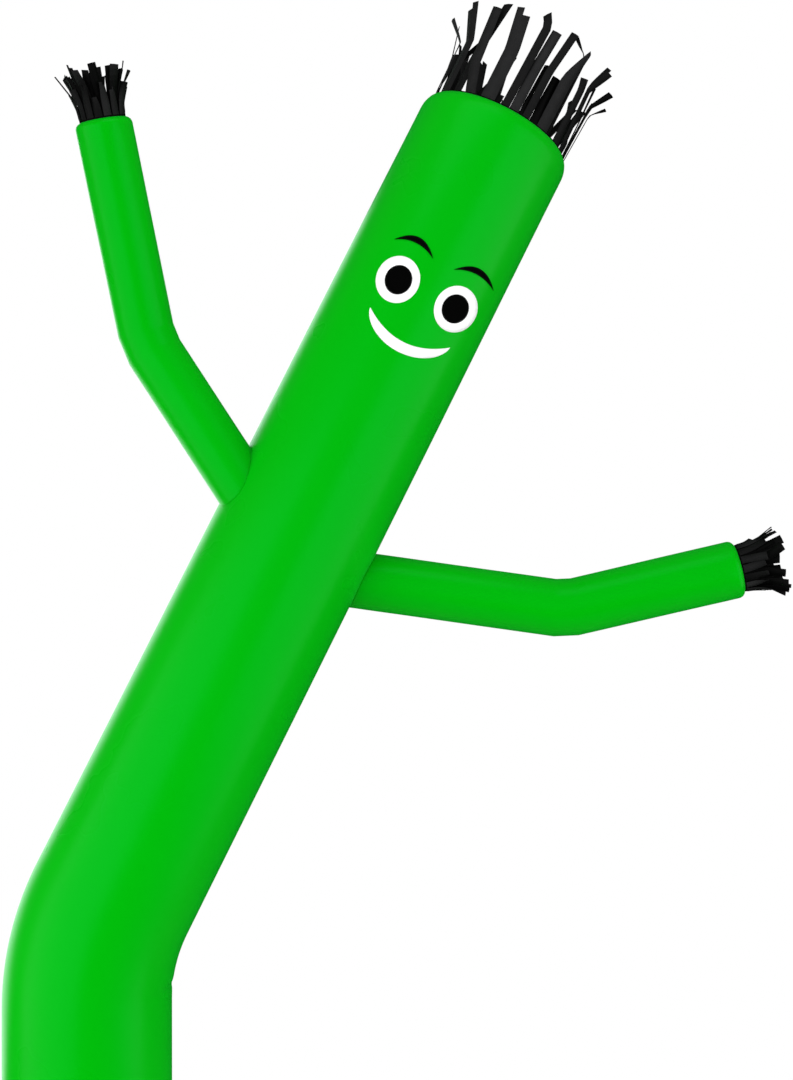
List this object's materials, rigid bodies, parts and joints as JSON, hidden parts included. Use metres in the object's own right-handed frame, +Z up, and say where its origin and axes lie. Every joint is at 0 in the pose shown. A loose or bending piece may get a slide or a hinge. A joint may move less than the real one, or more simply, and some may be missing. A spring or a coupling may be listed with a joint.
{
  "type": "inflatable air dancer",
  "caption": "Tall open fabric sleeve that stands up by blown air, bent and leaning, with two bent arm sleeves, black cut fringes at head and hands, and a plain smiling face.",
  "frame": {"origin": "centre of the open foot, where the body sleeve goes over the blower's collar", "axes": "+Z up along the upright part of the body sleeve, +X towards the side that the body leans to, and the face looks along -Y"},
  "size_m": [1.4645, 0.495, 3.1016],
  "materials": {
    "green_nylon": "satin coated ripstop nylon, stretched smooth by the air",
    "black_nylon": "matt black nylon",
    "white_nylon": "matt white nylon"
  },
  "bodies": {
    "root": {"body_tube": "green_nylon", "arm_left": "green_nylon", "arm_right": "green_nylon", "head_fringe": "black_nylon", "hand_fringe_left": "black_nylon", "hand_fringe_right": "black_nylon", "eye_white_left": "white_nylon", "eye_white_right": "white_nylon", "pupil_left": "black_nylon", "pupil_right": "black_nylon", "brow_left": "black_nylon", "brow_right": "black_nylon", "smile": "white_nylon"}
  },
  "joints": []
}
